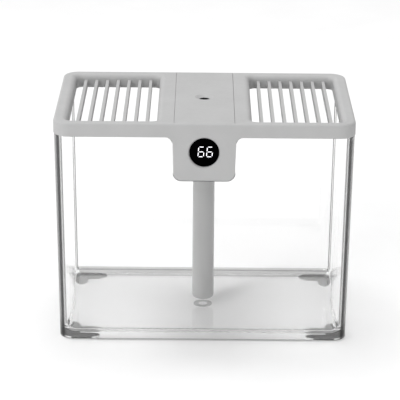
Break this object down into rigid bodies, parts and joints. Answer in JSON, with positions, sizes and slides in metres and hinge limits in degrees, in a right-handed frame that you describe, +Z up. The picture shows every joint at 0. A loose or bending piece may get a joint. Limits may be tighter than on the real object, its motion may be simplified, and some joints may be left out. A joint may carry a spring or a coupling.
{
  "type": "cool mist humidifier",
  "caption": "Table-top cool mist humidifier: clear rectangular water tank, flush lid with slatted grilles, front apron with round display key, and a wick tube under the mist outlet.",
  "frame": {"origin": "on the table under the middle of the tank, on the axis of the mist bore", "axes": "+X along the long side to the right seen from the display, +Y from the display side to the power socket side, +Z up along the mist bore"},
  "size_m": [0.163, 0.1006, 0.1275],
  "materials": {
    "clear_tank": "polished clear moulding",
    "foot_rubber": "soft matt",
    "sleeve_rubber": "matt black silicone",
    "lid_plastic": "fine satin moulding texture",
    "cover_plastic": "fine satin moulding texture",
    "housing_plastic": "satin moulding",
    "retainer_plastic": "satin moulding",
    "tube_plastic": "frosted translucent moulding",
    "lens_plastic": "polished dark smoked window",
    "carrier_plastic": "satin moulding",
    "black_plastic": "moulded component body",
    "sensor_plastic": "moulded component body",
    "board_laminate": "solder-masked glass laminate",
    "digit_module": "moulded display module",
    "capacitor_can": "drawn can",
    "socket_steel": "drawn shell",
    "screw_steel": "zinc plated",
    "spring_steel": "stainless wire",
    "mesh_steel": "perforated stainless foil",
    "disc_ceramic": "silvered piezo ceramic",
    "seal_rubber": "translucent silicone",
    "wick_cotton": "compressed cotton",
    "ribbon_plastic": "flat flexible cable",
    "lead_insulation": "silicone wire insulation"
  },
  "bodies": {
    "tank": {"tank": "clear_tank", "foot_pad_front_left": "foot_rubber", "foot_pad_front_right": "foot_rubber", "foot_pad_rear_left": "foot_rubber", "foot_pad_rear_right": "foot_rubber"},
    "lid": {"lid_frame": "lid_plastic", "top_cover": "cover_plastic", "mist_sleeve": "sleeve_rubber", "housing": "housing_plastic", "housing_gasket": "seal_rubber", "housing_screws": "screw_steel", "atomiser_retainer": "retainer_plastic", "retainer_screws": "screw_steel", "atomiser_seal": "seal_rubber", "atomiser_disc": "disc_ceramic", "atomiser_mesh": "mesh_steel", "display_board": "board_laminate", "digit_display": "digit_module", "button_switch": "black_plastic", "humidity_sensor": "sensor_plastic", "main_board": "board_laminate", "inductor": "black_plastic", "filter_capacitor": "capacitor_can", "controller_chip": "black_plastic", "driver_transistor": "black_plastic", "board_screws": "screw_steel", "power_socket": "socket_steel", "display_ribbon": "ribbon_plastic", "disc_leads": "lead_insulation"},
    "display_key": {"display_lens": "lens_plastic", "button_carrier": "carrier_plastic", "switch_plunger": "black_plastic"},
    "wick_holder": {"wick_tube": "tube_plastic", "tube_seal": "seal_rubber", "wick": "wick_cotton", "wick_spring": "spring_steel"}
  },
  "joints": [
    {"name": "lid_lift", "type": "slide", "parent": "tank", "child": "lid", "axis": [0, 0, 1], "range_m": [0, 0.125]},
    {"name": "button_press", "type": "slide", "parent": "lid", "child": "display_key", "axis": [0, 1, 0], "range_m": [0, 0.0006], "stiffness_N_per_m": 1500},
    {"name": "tube_twist", "type": "hinge", "parent": "lid", "child": "wick_holder", "pos_m": [0, 0, 0.1], "axis": [0, 0, 1], "range_deg": [0, 40]}
  ]
}
